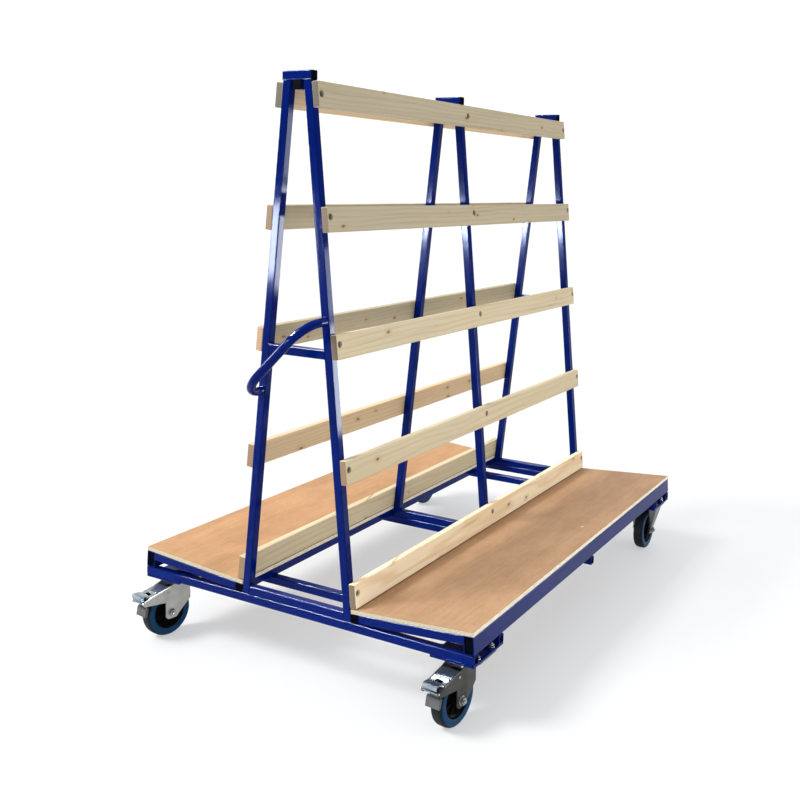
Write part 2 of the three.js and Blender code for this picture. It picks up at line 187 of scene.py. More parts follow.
def faceKnots(material):
    # scattered over the rails' faces, other places on either side of the cart
    axes = addNode(material, "ShaderNodeSeparateXYZ", Vector=objectPoint(material)).outputs
    lengthwise = calculate(material, "MULTIPLY", axes["Y"], 6.5)
    sideways = calculate(material, "MULTIPLY", axes["X"], 23.0)
    along = calculate(material, "ADD", lengthwise, sideways)
    upward = calculate(material, "MULTIPLY", axes["Z"], 13.0)
    point = addNode(material, "ShaderNodeCombineXYZ", X=along, Y=upward).outputs["Vector"]
    cells = addNode(material, "ShaderNodeTexVoronoi", dict(voronoi_dimensions="2D"), Vector=point, Scale=1.0)
    chance = addNode(material, "ShaderNodeSeparateColor", Color=cells.outputs["Color"]).outputs["Red"]
    present = rangeAt(material, chance, 0.0, 1.0, 0.55, 0.75)
    core = rangeAt(material, cells.outputs["Distance"], 1.0, 0.0, 0.025, 0.07)
    halo = rangeAt(material, cells.outputs["Distance"], 1.0, 0.0, 0.06, 0.2)
    return calculate(material, "MULTIPLY", core, present), calculate(material, "MULTIPLY", halo, present)


def makePine(name, pale, deep, figured=0.36):
    material = startMaterial(name, Specular_IOR_Level=0.04)
    streaks = noiseAt(material, objectPoint(material, scale=(46, 1.3, 46)), 1.6, detail=5.0, roughness=0.6)
    warm = noiseAt(material, objectPoint(material, scale=(3.5, 0.9, 4.2)), 1.7, detail=2.0)
    knots, halo = faceKnots(material)
    figure = addNode(material, "ShaderNodeTexWave",
                     dict(wave_type="RINGS", rings_direction="Y", wave_profile="SIN"),
                     Vector=objectPoint(material, scale=(1, 0.13, 1), move=(0.31, 0.0, -0.17)),
                     Scale=24.0, Distortion=8.0, Detail=1.6, Detail_Scale=0.7)
    stain = noiseAt(material, objectPoint(material, scale=(24, 1.7, 58)), 1.0, detail=3.0)
    base = rampAt(material, warm, (0.3, pale), (0.7, deep))
    lines = rampAt(material, figure.outputs["Fac"], (0.62, (1, 1, 1)), (0.96, (0.84, 0.73, 0.6)))
    grain = rampAt(material, streaks, (0.34, (0.87, 0.81, 0.73)), (0.56, (1, 1, 1)))
    dark = rampAt(material, stain, (0.64, (1, 1, 1)), (0.74, (0.62, 0.53, 0.44)))
    colour = mixColour(material, figured, base, lines, "MULTIPLY")
    colour = mixColour(material, 0.5, colour, grain, "MULTIPLY")
    colour = mixColour(material, 0.6, colour, dark, "MULTIPLY")
    colour = mixColour(material, calculate(material, "MULTIPLY", halo, 0.35), colour, (0.5, 0.31, 0.15))
    colour = mixColour(material, calculate(material, "MULTIPLY", knots, 0.85), colour, (0.12, 0.065, 0.035))
    setShader(material, Base_Color=colour,
              Roughness=rangeAt(material, streaks, 0.72, 0.55))
    addBump(material, streaks, 0.25, 0.0008)
    return material


def makePlyFace(name, dark, light):
    material = startMaterial(name, Specular_IOR_Level=0.06)
    broad = noiseAt(material, objectPoint(material, scale=(4.5, 0.8, 4.5)), 1.8, detail=3.0)
    blotch = noiseAt(material, objectPoint(material, scale=(13, 7, 13)), 1.0, detail=5.0, roughness=0.65)
    fine = noiseAt(material, objectPoint(material, scale=(95, 3.2, 95)), 1.5, detail=4.0, roughness=0.65)
    pores = noiseAt(material, objectPoint(material, scale=(260, 16, 260)), 1.6, detail=2.0)
    specks = noiseAt(material, objectPoint(material), 330.0, detail=2.0)
    base = rampAt(material, broad, (0.3, dark), (0.7, light))
    cloud = rampAt(material, blotch, (0.35, (0.9, 0.87, 0.84)), (0.62, (1.06, 1.06, 1.06)))
    fibre = rampAt(material, fine, (0.33, (0.8, 0.74, 0.67)), (0.6, (1, 1, 1)))
    fleck = rampAt(material, pores, (0.3, (0.72, 0.64, 0.56)), (0.45, (1, 1, 1)))
    grit = rampAt(material, specks, (0.34, (0.82, 0.77, 0.72)), (0.5, (1, 1, 1)))
    for amount, layer in ((0.9, cloud), (0.42, fibre), (0.35, fleck), (0.6, grit)):
        base = mixColour(material, amount, base, layer, "MULTIPLY")
    chipPoint = objectPoint(material, scale=(5.0, 3.0, 5.0))
    chip = addNode(material, "ShaderNodeTexVoronoi", Vector=chipPoint, Scale=1.0).outputs["Distance"]
    bare = rampAt(material, chip, (0.012, (1, 1, 1)), (0.03, (0, 0, 0)))
    colour = mixColour(material, bare, base, (0.66, 0.53, 0.4))
    setShader(material, Base_Color=colour,
              Roughness=rangeAt(material, fine, 0.58, 0.42))
    addBump(material, pores, 0.15, 0.0004)
    return material


def makePlyEdge(name, pale, middle, dark):
    material = startMaterial(name, Roughness=0.75, Specular_IOR_Level=0.04)
    across = addNode(material, "ShaderNodeUVMap", dict(uv_map="edge")).outputs["UV"]
    layer = addNode(material, "ShaderNodeSeparateXYZ", Vector=across).outputs["Y"]
    wobble = noiseAt(material, objectPoint(material, scale=(60, 6, 60)), 1.0)
    waver = calculate(material, "MULTIPLY", wobble, 0.35)
    shifted = calculate(material, "ADD", calculate(material, "MULTIPLY", layer, 7.0), waver)
    stripe = calculate(material, "PINGPONG", shifted, 1.0)
    colour = rampAt(material, stripe, (0.3, pale), (0.62, middle), (0.92, dark))
    speckle = noiseAt(material, objectPoint(material, scale=(300, 40, 300)), 1.5)
    rough = rampAt(material, speckle, (0.36, (0.5, 0.43, 0.36)), (0.52, (1, 1, 1)))
    colour = mixColour(material, 0.5, colour, rough, "MULTIPLY")
    setShader(material, Base_Color=colour)
    addBump(material, stripe, 0.2, 0.0005)
    return material


def makeZinc(name, dark, light, low, high):
    material = startMaterial(name, Metallic=0.9)
    cloud = noiseAt(material, objectPoint(material), 22.0, detail=4.0)
    rolled = noiseAt(material, objectPoint(material, scale=(30, 30, 240)), 1.2, detail=2.0)
    setShader(material, Base_Color=rampAt(material, cloud, (0.3, dark), (0.7, light)),
              Roughness=rangeAt(material, rolled, low, high))
    addBump(material, rolled, 0.06, 0.0004)
    return material


def makePlastic(name, dark, light, low, high, grain=900.0, shine=0.2):
    material = startMaterial(name, Specular_IOR_Level=shine)
    cloud = noiseAt(material, objectPoint(material), 30.0)
    setShader(material, Base_Color=rampAt(material, cloud, (0.3, dark), (0.7, light)),
              Roughness=rangeAt(material, cloud, low, high))
    addBump(material, noiseAt(material, objectPoint(material), grain, detail=1.0), 0.1, 0.0003)
    return material


bluePaint = makeBluePaint()
pineGrey = makePine("pineGrey", (0.465, 0.415, 0.305), (0.495, 0.425, 0.295))
pineMid = makePine("pineMid", (0.625, 0.545, 0.38), (0.655, 0.55, 0.365))
# paler and warmer partly as painted light: bounce from the deck below the bottom right rail
pinePaleBounceLit = makePine("pinePaleBounceLit", (0.95, 0.82, 0.6), (0.97, 0.82, 0.58), 0.6)
pineWarm = makePine("pineWarm", (0.7, 0.545, 0.36), (0.715, 0.545, 0.35))
endDark = makeEndGrain("endDark", (0.118, 0.096, 0.066), (0.083, 0.067, 0.045))
endBrown = makeEndGrain("endBrown", (0.225, 0.17, 0.12), (0.16, 0.12, 0.083))
endMid = makeEndGrain("endMid", (0.33, 0.225, 0.14), (0.24, 0.155, 0.09))
endLight = makeEndGrain("endLight", (0.56, 0.37, 0.23), (0.45, 0.28, 0.165))
plyFaces = dict(left=makePlyFace("plyLeft", (0.43, 0.245, 0.125), (0.53, 0.31, 0.16)),
                right=makePlyFace("plyRight", (0.385, 0.238, 0.134), (0.43, 0.268, 0.152)))
plyEnd = makePlyEdge("plyEnd", (0.62, 0.58, 0.46), (0.52, 0.46, 0.34), (0.34, 0.27, 0.18))
plyEdge = makePlyEdge("plyEdge", (0.92, 0.88, 0.78), (0.86, 0.79, 0.66), (0.6, 0.48, 0.34))
# both forks are the same zinc; the right fork's copy is far darker, painted shade
zincForksRightShaded = dict(left=makeZinc("zincPale", (0.36, 0.36, 0.34), (0.52, 0.52, 0.49), 0.32, 0.46),
                 right=makeZinc("zincPaintedShade", (0.042, 0.041, 0.038), (0.072, 0.07, 0.066), 0.4, 0.55))
zinc = makeZinc("zincPlate", (0.11, 0.118, 0.115), (0.165, 0.175, 0.171), 0.34, 0.48)
brightZinc = makeZinc("brightZinc", (0.2, 0.235, 0.275), (0.33, 0.375, 0.415), 0.1, 0.22)
# bolt steel darkened by half, partly painted shade for bolts that sit in shadow
boltSteelAndShade = makeZinc("boltSteelAndShade", (0.3, 0.32, 0.32), (0.42, 0.44, 0.43), 0.14, 0.26)
darkSteel = makeZinc("darkSteel", (0.045, 0.045, 0.043), (0.08, 0.08, 0.076), 0.55, 0.7)
treadRubber = makePlastic("treadRubber", (0.0065, 0.0105, 0.0145), (0.0115, 0.017, 0.022), 0.5, 0.68,
                          600.0, 0.08)
blueRubber = makePlastic("blueRubber", (0.003, 0.036, 0.1), (0.005, 0.052, 0.135), 0.4, 0.55, 700.0, 0.08)
hubPlastic = makePlastic("hubPlastic", (0.002, 0.002, 0.0025), (0.004, 0.004, 0.0045), 0.35, 0.5, shine=0.015)
# black plug plastic; also painted shade on the face set deep inside the open cross tube ends
plugPlasticAndHoleShade = makePlastic("plugPlasticAndHoleShade", (0.0015, 0.002, 0.0045), (0.0025, 0.003, 0.0065), 0.4, 0.55,
                          shine=0.001)
shoePlastic = makePlastic("shoePlastic", (0.08, 0.086, 0.09), (0.115, 0.123, 0.128), 0.4, 0.55, shine=0.05)
print("materials made")

# mesh helpers


def addBlock(bm, low, high):
    made = bmesh.ops.create_cube(bm, size=1.0)["verts"]
    size = [h - l for l, h in zip(low, high)]
    middle = [(l + h) / 2 for l, h in zip(low, high)]
    bmesh.ops.scale(bm, vec=size, verts=made)
    bmesh.ops.translate(bm, vec=middle, verts=made)
    return made


def edgesOf(verts):
    return list({e for v in verts for e in v.link_edges})


def roundEdges(bm, edges, width, segments=3):
    bmesh.ops.bevel(bm, geom=edges, offset=width, offset_type="OFFSET", affect="EDGES", segments=segments,
                    profile=0.5, material=-1, clamp_overlap=True)


def capEdges(verts, axis):
    return [e for e in edgesOf(verts) if abs(e.verts[0].co[axis] - e.verts[1].co[axis]) < 1e-6]


def alongEdges(verts, axis):
    found = []
    for edge in edgesOf(verts):
        way = (edge.verts[0].co - edge.verts[1].co).normalized()
        if abs(way[axis]) > 0.99:
            found.append(edge)
    return found


def addDisc(bm, radius, low, high, centre, axis="Z", sides=24):
    made = bmesh.ops.create_cone(bm, cap_ends=True, segments=sides, radius1=radius, radius2=radius,
                                 depth=high - low)["verts"]
    bmesh.ops.translate(bm, vec=(0, 0, (low + high) / 2), verts=made)
    if axis == "X":
        bmesh.ops.rotate(bm, verts=made, cent=(0, 0, 0), matrix=Matrix.Rotation(math.pi / 2, 3, "Y"))
    bmesh.ops.translate(bm, vec=centre, verts=made)
    return made


def outlinePlate(bm, points, x0, x1, corner=0.0, edge=0.0):
    # outline in the side view (y, z), given a thickness across the cart
    verts = [bm.verts.new((x0, y, z)) for y, z in points]
    face = bm.faces.new(verts)
    if corner:
        bmesh.ops.bevel(bm, geom=list(face.verts), offset=corner, offset_type="OFFSET", affect="VERTICES",
                        segments=4, profile=0.5, material=-1, clamp_overlap=True)
        face = max(bm.faces, key=lambda f: len(f.verts) if abs(f.calc_center_median().x - x0) < 1e-7 else 0)
    rim = list(face.edges)
    pushed = bmesh.ops.extrude_face_region(bm, geom=[face])["geom"]
    moved = [g for g in pushed if isinstance(g, bmesh.types.BMVert)]
    bmesh.ops.translate(bm, vec=(x1 - x0, 0, 0), verts=moved)
    bmesh.ops.reverse_faces(bm, faces=[face])
    if edge:
        movedSet = set(moved)
        far = [e for v in moved for e in v.link_edges if e.verts[0] in movedSet and e.verts[1] in movedSet]
        roundEdges(bm, list(set(far)) + rim, edge, 2)


def spinLine(bm, points, axis, steps):
    # a line of points turned once about an axis through the origin
    verts = [bm.verts.new(point) for point in points]
    edges = [bm.edges.new(pair) for pair in zip(verts, verts[1:])]
    bmesh.ops.spin(bm, geom=verts + edges, cent=(0, 0, 0), axis=axis, angle=2 * math.pi, steps=steps,
                   use_merge=True)
    bmesh.ops.remove_doubles(bm, verts=bm.verts, dist=1e-6)


def moveAll(bm, matrix):
    bmesh.ops.transform(bm, matrix=matrix, verts=bm.verts)


def onSide(place, side):
    # pieces on the left mirror the ones on the right
    return Matrix.Diagonal((side, 1, 1, 1)) @ place


def applied(piece):
    graph = bpy.context.evaluated_depsgraph_get()
    return bpy.data.meshes.new_from_object(piece.evaluated_get(graph))


def subtract(bm, cutter):
    drafts = []
    for source in (bm, cutter):
        bmesh.ops.recalc_face_normals(source, faces=source.faces)
        mesh = bpy.data.meshes.new("draft")
        source.to_mesh(mesh)
        source.free()
        draft = bpy.data.objects.new("draft", mesh)
        bpy.context.collection.objects.link(draft)
        drafts.append(draft)
    cut = drafts[0].modifiers.new("cut", "BOOLEAN")
    cut.operation = "DIFFERENCE"
    cut.solver = "EXACT"
    cut.object = drafts[1]
    bpy.context.view_layer.update()
    result = applied(drafts[0])
    made = bmesh.new()
    made.from_mesh(result)
    bpy.data.meshes.remove(result)
    for draft in drafts:
        mesh = draft.data
        bpy.data.objects.remove(draft)
        bpy.data.meshes.remove(mesh)
    return made


def finishPiece(bm, name, materials, body, nodes, angle=38):
    bmesh.ops.recalc_face_normals(bm, faces=bm.faces)
    mesh = bpy.data.meshes.new(name)
    bm.to_mesh(mesh)
    bm.free()
    for material in materials:
        mesh.materials.append(material)
    mesh.shade_smooth()
    mesh.set_sharp_from_angle(angle=math.radians(angle))
    piece = bpy.data.objects.new(name, mesh)
    bpy.context.collection.objects.link(piece)
    weighted = piece.modifiers.new("flatFaces", "WEIGHTED_NORMAL")
    weighted.keep_sharp = True
    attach(piece, body)
    if nodes:
        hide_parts(*nodes)


def finishNode(bm, node, materials, body="frame", angle=38):
    # a piece that takes the place of one CAD node
    finishPiece(bm, node + "_look", materials, body, [node], angle)


# steel tubes

tubeLook = dict(segments=4, rim=0.0022, holeDepth=0.05, plugInset=0.003)


def roundedTube(bm, low, high, axis):
    verts = addBlock(bm, low, high)
    roundEdges(bm, alongEdges(verts, axis), cart["tubeRadius"], tubeLook["segments"])


def straightTube(node, axis):
    # shorter by the plugs' flanges
    low, high = boxOf(node)
    low[axis] += flange
    high[axis] -= flange
    bm = bmesh.new()
    roundedTube(bm, low, high, axis)
    finishNode(bm, node, [bluePaint])


def openEnds(bm, axis, depth):
    # a wall around each end and a face set back inside it
    ends = [f for f in bm.faces if abs(f.normal[axis]) > 0.9]
    bmesh.ops.inset_individual(bm, faces=ends, thickness=tubeLook["rim"], depth=0.0)
    inside = bmesh.ops.extrude_discrete_faces(bm, faces=ends)["faces"]
    for face in inside:
        face.material_index = 1
        bmesh.ops.translate(bm, vec=face.normal * -depth, verts=face.verts[:])


def openTube(node, axis):
    low, high = boxOf(node)
    bm = bmesh.new()
    roundedTube(bm, low, high, axis)
    # the face set back inside each open end is near-black: painted shade of the tube's dark inside
    openEnds(bm, axis, tubeLook["holeDepth"])
    finishNode(bm, node, [bluePaint, plugPlasticAndHoleShade])


def leaningLeg(node, side):
    low, high = boxOf(node)
    bm = bmesh.new()
    roundedTube(bm, (-legWide / 2, low.y, 0), (legWide / 2, high.y, high.z - low.z), 2)
    shear = Matrix.Identity(4)
    shear[0][2] = -side * cart["slope"]
    shear.translation = (side * (legOuter(low.z) - legWide / 2), 0, low.z)
    moveAll(bm, shear)
    finishNode(bm, node, [bluePaint])


def barBetween(node):
    # ends follow the lean of the legs
    low, high = boxOf(node)
    bm = bmesh.new()
    roundedTube(bm, low, high, 0)
    bmesh.ops.remove_doubles(bm, verts=bm.verts, dist=1e-7)
    for vert in bm.verts:
        side = 1 if vert.co.x > 0 else -1
        vert.co.x -= side * cart["slope"] * (vert.co.z - low.z)
    finishNode(bm, node, [bluePaint])


for place in frames:
    leaningLeg("leg_%s_left" % place, -1)
    leaningLeg("leg_%s_right" % place, 1)
    straightTube("cap_tube_" + place, 0)
    barBetween("foot_tube_" + place)
for place in ("front", "rear"):
    barBetween("crossbar_" + place)
straightTube("ridge_tube", 1)
for place in ("front", "front_inner", "middle", "rear_inner", "rear"):
    openTube("cross_tube_" + place, 0)
print("tubes made")

# decks and the tubes under them

deck = dict(inset=0.002, ply=0.012, outerTall=0.05, outerWide=0.03, loose=0.0005, plyRadius=0.0008)
chassisHalf = boxOf("cross_tube_front")[1].x
deckStart = legOuter(cart["chassisTop"]) + deck["loose"]
deck["depth"] = (chassisHalf - deck["inset"] - deckStart) / math.cos(cart["tilt"])
outerDrop = (deck["outerTall"] - tube) * math.cos(cart["tilt"])
outerDrop -= (deck["depth"] - deck["outerWide"]) * math.sin(cart["tilt"])
deckSeat = cart["chassisTop"] + outerDrop + cart["fit"]


def ontoDeck(bm, side):
    place = Matrix.Translation((deckStart, 0, deckSeat)) @ Matrix.Rotation(-cart["tilt"], 4, "Y")
    moveAll(bm, onSide(place, side))


def deckTube(node, side, low, high, axis, inset=0.0):
    bm = bmesh.new()
    roundedTube(bm, low, high, axis)
    if inset:
        openEnds(bm, axis, inset)
    ontoDeck(bm, side)
    finishNode(bm, node, [bluePaint, plugPlasticAndHoleShade])


def plywood(node, side, plyFace):
    under = tube + cart["fit"]
    bm = bmesh.new()
    verts = addBlock(bm, (0, frontY, under), (deck["depth"], rearY, under + deck["ply"]))
    roundEdges(bm, edgesOf(verts), deck["plyRadius"], 2)
    edgeMap = bm.loops.layers.uv.new("edge")
    for face in bm.faces:
        face.material_index = max(range(3), key=lambda axis: abs(face.normal[axis]))
        for loop in face.loops:
            loop[edgeMap].uv = (loop.vert.co.y, (loop.vert.co.z - under) / deck["ply"])
    ontoDeck(bm, side)
    finishNode(bm, node, [plyEdge, plyEnd, plyFace])


screw = dict(radius=0.0035, deep=0.002, proud=0.0002, fromEdge=0.025, fromEnd=0.05)


def deckScrews(name, side):
    top = tube + cart["fit"] + deck["ply"]
    bm = bmesh.new()
    for y in (frontY + screw["fromEnd"], rearY - screw["fromEnd"]):
        place = (deck["depth"] - screw["fromEdge"], y, top)
        addDisc(bm, screw["radius"], -screw["deep"], screw["proud"], place, "Z", 20)
    ontoDeck(bm, side)
    finishPiece(bm, name, [boltSteelAndShade], "frame", ())


for name, side in sides:
    plywood("deck_" + name, side, plyFaces[name])
    deckScrews("deck_screws_" + name, side)
    deckTube("deck_inner_tube_" + name, side, (0, frontY + flange, 0), (tube, rearY - flange, tube), 1)
    outerEdge = deck["depth"] - deck["outerWide"]
    deckTube("deck_outer_tube_" + name, side, (outerEdge, frontY, tube - deck["outerTall"]),
             (deck["depth"], rearY, tube), 1, tubeLook["plugInset"])
    for place, y in (("front", frontY + tube / 2), ("rear", rearY - tube / 2)):
        deckTube("deck_cross_tube_%s_%s" % (place, name), side, (tube + cart["fit"], y - tube / 2, 0),
                 (outerEdge - cart["fit"], y + tube / 2, tube), 0)
print("decks made")

# black plugs in the tube ends

plug = dict(radius=0.0022)


def plugPair(bm, low, high, axis):
    for end in (0, 1):
        a = Vector(low)
        b = Vector(high)
        if end:
            a[axis] = b[axis] - flange
        else:
            b[axis] = a[axis] + flange
        verts = addBlock(bm, a, b)
        roundEdges(bm, alongEdges(verts, axis), plug["radius"], 3)


bm = bmesh.new()
for place in frames:
    plugPair(bm, *boxOf("cap_tube_" + place), 0)
plugPair(bm, *boxOf("ridge_tube"), 1)
finishPiece(bm, "frame_tube_plugs", [plugPlasticAndHoleShade], "frame", ())
for name, side in sides:
    bm = bmesh.new()
    plugPair(bm, (0, frontY, 0), (tube, rearY, tube), 1)
    ontoDeck(bm, side)
    finishPiece(bm, "deck_tube_plugs_" + name, [plugPlasticAndHoleShade], "frame", ())
print("plugs made")

# timber rails with counterbored bolt holes

rail = dict(tall=0.068, thick=0.021, round=0.0026, holeRadius=0.0095, holeDepth=0.009, holeDrop=0.0265,
            topHoleDrop=0.034, washer=0.0085, washerThick=0.0012, head=0.0062, headThick=0.0033)
holeFloor = rail["thick"] - rail["holeDepth"]


def railPlace(node, side):
    top = boxOf(node)[1].z - rail["thick"] * math.sin(lean)
    place = Matrix.Translation((legOuter(top) + cart["fit"], 0, top)) @ Matrix.Rotation(-lean, 4, "Y")
    return onSide(place, side)


boltRows = [frontY + tube / 2, centreY, rearY - tube / 2]
# each row keeps its boards' own tone; the bottom right row is lightened partly as painted bounce light
railPine = dict(left=[pineWarm, pineGrey, pineGrey, pineWarm, pineMid],
                right=[pineGrey, pineGrey, pineMid, pineMid, pinePaleBounceLit])
railEnd = dict(left=[endDark, endMid, endLight, endMid, endMid],
               right=[endDark, endBrown, endBrown, endMid, endBrown])


def timberRail(node, side, drop, pine, end):
    bm = bmesh.new()
    verts = addBlock(bm, (0, frontY, -rail["tall"]), (rail["thick"], rearY, 0))
    roundEdges(bm, edgesOf(verts), rail["round"], 3)
    for face in bm.faces:
        face.material_index = 1 if abs(face.normal.y) > 0.9 else 0
    holes = bmesh.new()
    for y in boltRows:
        addDisc(holes, rail["holeRadius"], holeFloor, 2 * rail["thick"], (0, y, -drop), "X", 32)
    bm = subtract(bm, holes)
    moveAll(bm, railPlace(node, side))
    finishNode(bm, node, [pine, end], angle=32)


def railBolts(node, side, drop):
    bm = bmesh.new()
    seat = holeFloor + rail["washerThick"]
    for y in boltRows:
        addDisc(bm, rail["washer"], holeFloor, seat, (0, y, -drop), "X", 28)
        addDisc(bm, rail["head"], seat, seat + rail["headThick"], (0, y, -drop), "X", 6)
    moveAll(bm, railPlace(node, side))
    finishPiece(bm, node + "_bolts", [darkSteel], "frame", ())


for name, side in sides:
    for row in range(1, 6):
        node = "rail_%s_%d" % (name, row)
        drop = rail["topHoleDrop"] if row == 1 else rail["holeDrop"]
        timberRail(node, side, drop, railPine[name][row - 1], railEnd[name][row - 1])
        railBolts(node, side, drop)
print("rails made")

# bent handle

handle = dict(radius=0.0125, reach=0.092, upperBend=0.068, lowerBend=0.09, upper=1.026, lower=0.8145,
              steps=18)


def quarterBend(corner, a, b, radius):
    # from a square corner's first direction round to its second
    centre = corner + (a + b) * radius
    points = []
    for step in range(handle["steps"] + 1):
        turn = math.pi / 2 * step / handle["steps"]
        points.append(centre - b * radius * math.cos(turn) - a * radius * math.sin(turn))
    return points


def bentPath():
    upper = Vector((legOuter(handle["upper"]) - legWide / 2, frontY, handle["upper"]))
    lower = Vector((-legOuter(handle["lower"]) + legWide / 2, frontY, handle["lower"]))
    back = Vector((0, 1, 0))
    upperCorner = upper - back * handle["reach"]
    lowerCorner = lower - back * handle["reach"]
    across = (lowerCorner - upperCorner).normalized()
    points = [upper]
    points += quarterBend(upperCorner, back, across, handle["upperBend"])
    points += quarterBend(lowerCorner, -across, back, handle["lowerBend"])
    points.append(lower)
    return points


def tubeMesh(name, paths, radius, resolution):
    curve = bpy.data.curves.new(name, "CURVE")
    curve.dimensions = "3D"
    curve.bevel_depth = radius
    curve.bevel_resolution = resolution
    curve.use_fill_caps = True
    for points in paths:
        spline = curve.splines.new("POLY")
        spline.points.add(len(points) - 1)
        for place, point in zip(spline.points, points):
            place.co = (*point, 1)
    draft = bpy.data.objects.new(name, curve)
    bpy.context.collection.objects.link(draft)
    bpy.context.view_layer.update()
    mesh = applied(draft)
    bm = bmesh.new()
    bm.from_mesh(mesh)
    bpy.data.objects.remove(draft)
    bpy.data.curves.remove(curve)
    bpy.data.meshes.remove(mesh)
    return bm


bm = tubeMesh("handle_path", [bentPath()], handle["radius"], 8)
finishNode(bm, "handle", [bluePaint], angle=50)
print("handle made")

# weld beads, painted over

bead = dict(radius=0.0016, inset=0.0025, wave=0.0002, step=0.004, ripple=2.4, tackFrom=-0.022, tackTo=0.008,
            ringOff=0.0008, ringGrow=0.0004, deckIn=0.012, deckLong=0.02, deckRise=0.001)


def seam(a, b):
    a = Vector(a)
    b = Vector(b)
    count = max(2, int((b - a).length / bead["step"]))
    side = Vector((0, 0, 1)) if abs((b - a).normalized().z) < 0.7 else Vector((1, 0, 0))
    points = []
    for i in range(count + 1):
        points.append(a.lerp(b, i / count) + side * bead["wave"] * math.sin(i * bead["ripple"]))
    return points


def frameSeams(place):
    low, high = boxOf("cap_tube_" + place)
    inset = bead["inset"]
    base = cart["chassisTop"]
    top = base + tube
    found = []
    for side in (-1, 1):
        for z in (cart["capBottom"], base):
            outer = side * (legOuter(z) - inset)
            inner = side * (legOuter(z) - legWide + inset)
            for y in (low.y, high.y):
                found.append(seam((outer, y, z), (inner, y, z)))
        x = side * (legOuter(cart["capBottom"]) - legWide)
        found.append(seam((x, low.y + inset, cart["capBottom"]), (x, high.y - inset, cart["capBottom"])))
        upper = side * (legOuter(top) - legWide)
        lower = side * (legOuter(base) - legWide)
        for y in (low.y, high.y):
            found.append(seam((upper, y, top - inset), (lower, y, base + inset)))
    for y in (low.y, high.y):
        found.append(seam((bead["tackFrom"], y, base), (bead["tackTo"], y, base)))
    return found


def crossbarSeams(place):
    low, high = boxOf("crossbar_" + place)
    inset = bead["inset"]
    found = []
    for side in (-1, 1):
        upper = side * (legOuter(high.z) - legWide)
        lower = side * (legOuter(low.z) - legWide)
        for y in (low.y, high.y):
            found.append(seam((upper, y, high.z - inset), (lower, y, low.z + inset)))
        for x, z in ((upper, high.z), (lower, low.z)):
            found.append(seam((x, low.y + inset, z), (x, high.y - inset, z)))
    return found


def deckSeams(side):
    # where the cross tubes carry the deck's outer tube
    x = deckStart + deck["depth"] * math.cos(cart["tilt"]) - bead["deckIn"]
    outer = side * x
    inner = side * (x - bead["deckLong"])
    base = cart["chassisTop"]
    found = []
    for middle in (rearY - cart["pitch"] + tube / 2, frontY + cart["pitch"] - tube / 2, centreY):
        for y in (middle - tube / 2, middle + tube / 2):
            found.append(seam((outer, y, base + bead["deckRise"]), (inner, y, base)))
    return found


def ringSeam(centre, radius, count=28):
    points = []
    for i in range(count + 1):
        turn = 2 * math.pi * i / count
        points.append(Vector(centre) + Vector((radius * math.cos(turn), 0, radius * math.sin(turn))))
    return points


seams = []
for place in frames:
    seams += frameSeams(place)
for place in ("front", "rear"):
    seams += crossbarSeams(place)
ends = bentPath()
for end in (ends[0], ends[-1]):
    seams.append(ringSeam((end.x, end.y - bead["ringOff"], end.z), handle["radius"] + bead["ringGrow"]))
for name, side in sides:
    seams += deckSeams(side)
finishPiece(tubeMesh("seams", seams, bead["radius"], 2), "weld_beads", [bluePaint], "frame", (),
            60)
print("welds made")

# casters

caster = dict(
    x=0.504, spanX=0.105, spanY=0.08, offset=0.062, wheelRadius=0.075, webTop=0.1665,
    padLong=0.13, padWide=0.105, padThick=0.004, padCorner=0.009, mountThick=0.006, mountEdge=0.0008,
    forkGap=0.027, forkThick=0.003, turn=dict(left=math.radians(-10), right=math.radians(-6)),
)
swivelY = frontY + cart["pitch"] / 2
rigidY = rearY - cart["pitch"] / 2
mountBottom = cart["chassisBottom"] - caster["mountThick"]
padBottom = mountBottom - caster["padThick"]


def merge(bm, part, slot=0):
    # joins a finished part to a piece, in one of the piece's materials
    bmesh.ops.recalc_face_normals(part, faces=part.faces)
    for face in part.faces:
        face.material_index = slot
    draft = bpy.data.meshes.new("draft")
    part.to_mesh(draft)
    part.free()
    bm.from_mesh(draft)
    bpy.data.meshes.remove(draft)


def mountPlate(node):
    bm = bmesh.new()
    verts = addBlock(bm, *boxOf(node))
    roundEdges(bm, edgesOf(verts), caster["mountEdge"], 2)
    finishNode(bm, node, [bluePaint])


mountBolt = dict(washer=0.0085, washerThick=0.0016, hex=0.0072, nutTall=0.0066, stud=0.0039, studTall=0.0053,
                 headTall=0.0053, edge=0.0006, headEdge=0.0007)


def boltPlaces(x, y):
    for dx in (-1, 1):
        for dy in (-1, 1):
            yield x + dx * caster["spanX"] / 2, y + dy * caster["spanY"] / 2


def mountBolts(name, x, y):
    bm = bmesh.new()
    for bx, by in boltPlaces(x, y):
        z = cart["chassisBottom"]
        for radius, tall, corners in ((mountBolt["washer"], mountBolt["washerThick"], 28),
                                      (mountBolt["hex"], mountBolt["nutTall"], 6),
                                      (mountBolt["stud"], mountBolt["studTall"], 20)):
            verts = addDisc(bm, radius, z, z + tall, (bx, by, 0), "Z", corners)
            roundEdges(bm, capEdges(verts, 2), mountBolt["edge"], 2)
            z += tall
        low = padBottom - mountBolt["headTall"]
        head = addDisc(bm, mountBolt["hex"], low, padBottom, (bx, by, 0), "Z", 6)
        roundEdges(bm, capEdges(head, 2), mountBolt["headEdge"], 2)
    finishPiece(bm, name, [boltSteelAndShade], "frame", ())


def addPad(bm, x, y):
    low = (x - caster["padLong"] / 2, y - caster["padWide"] / 2, padBottom)
    high = (x + caster["padLong"] / 2, y + caster["padWide"] / 2, mountBottom)
    verts = addBlock(bm, low, high)
    roundEdges(bm, alongEdges(verts, 2), caster["padCorner"], 5)


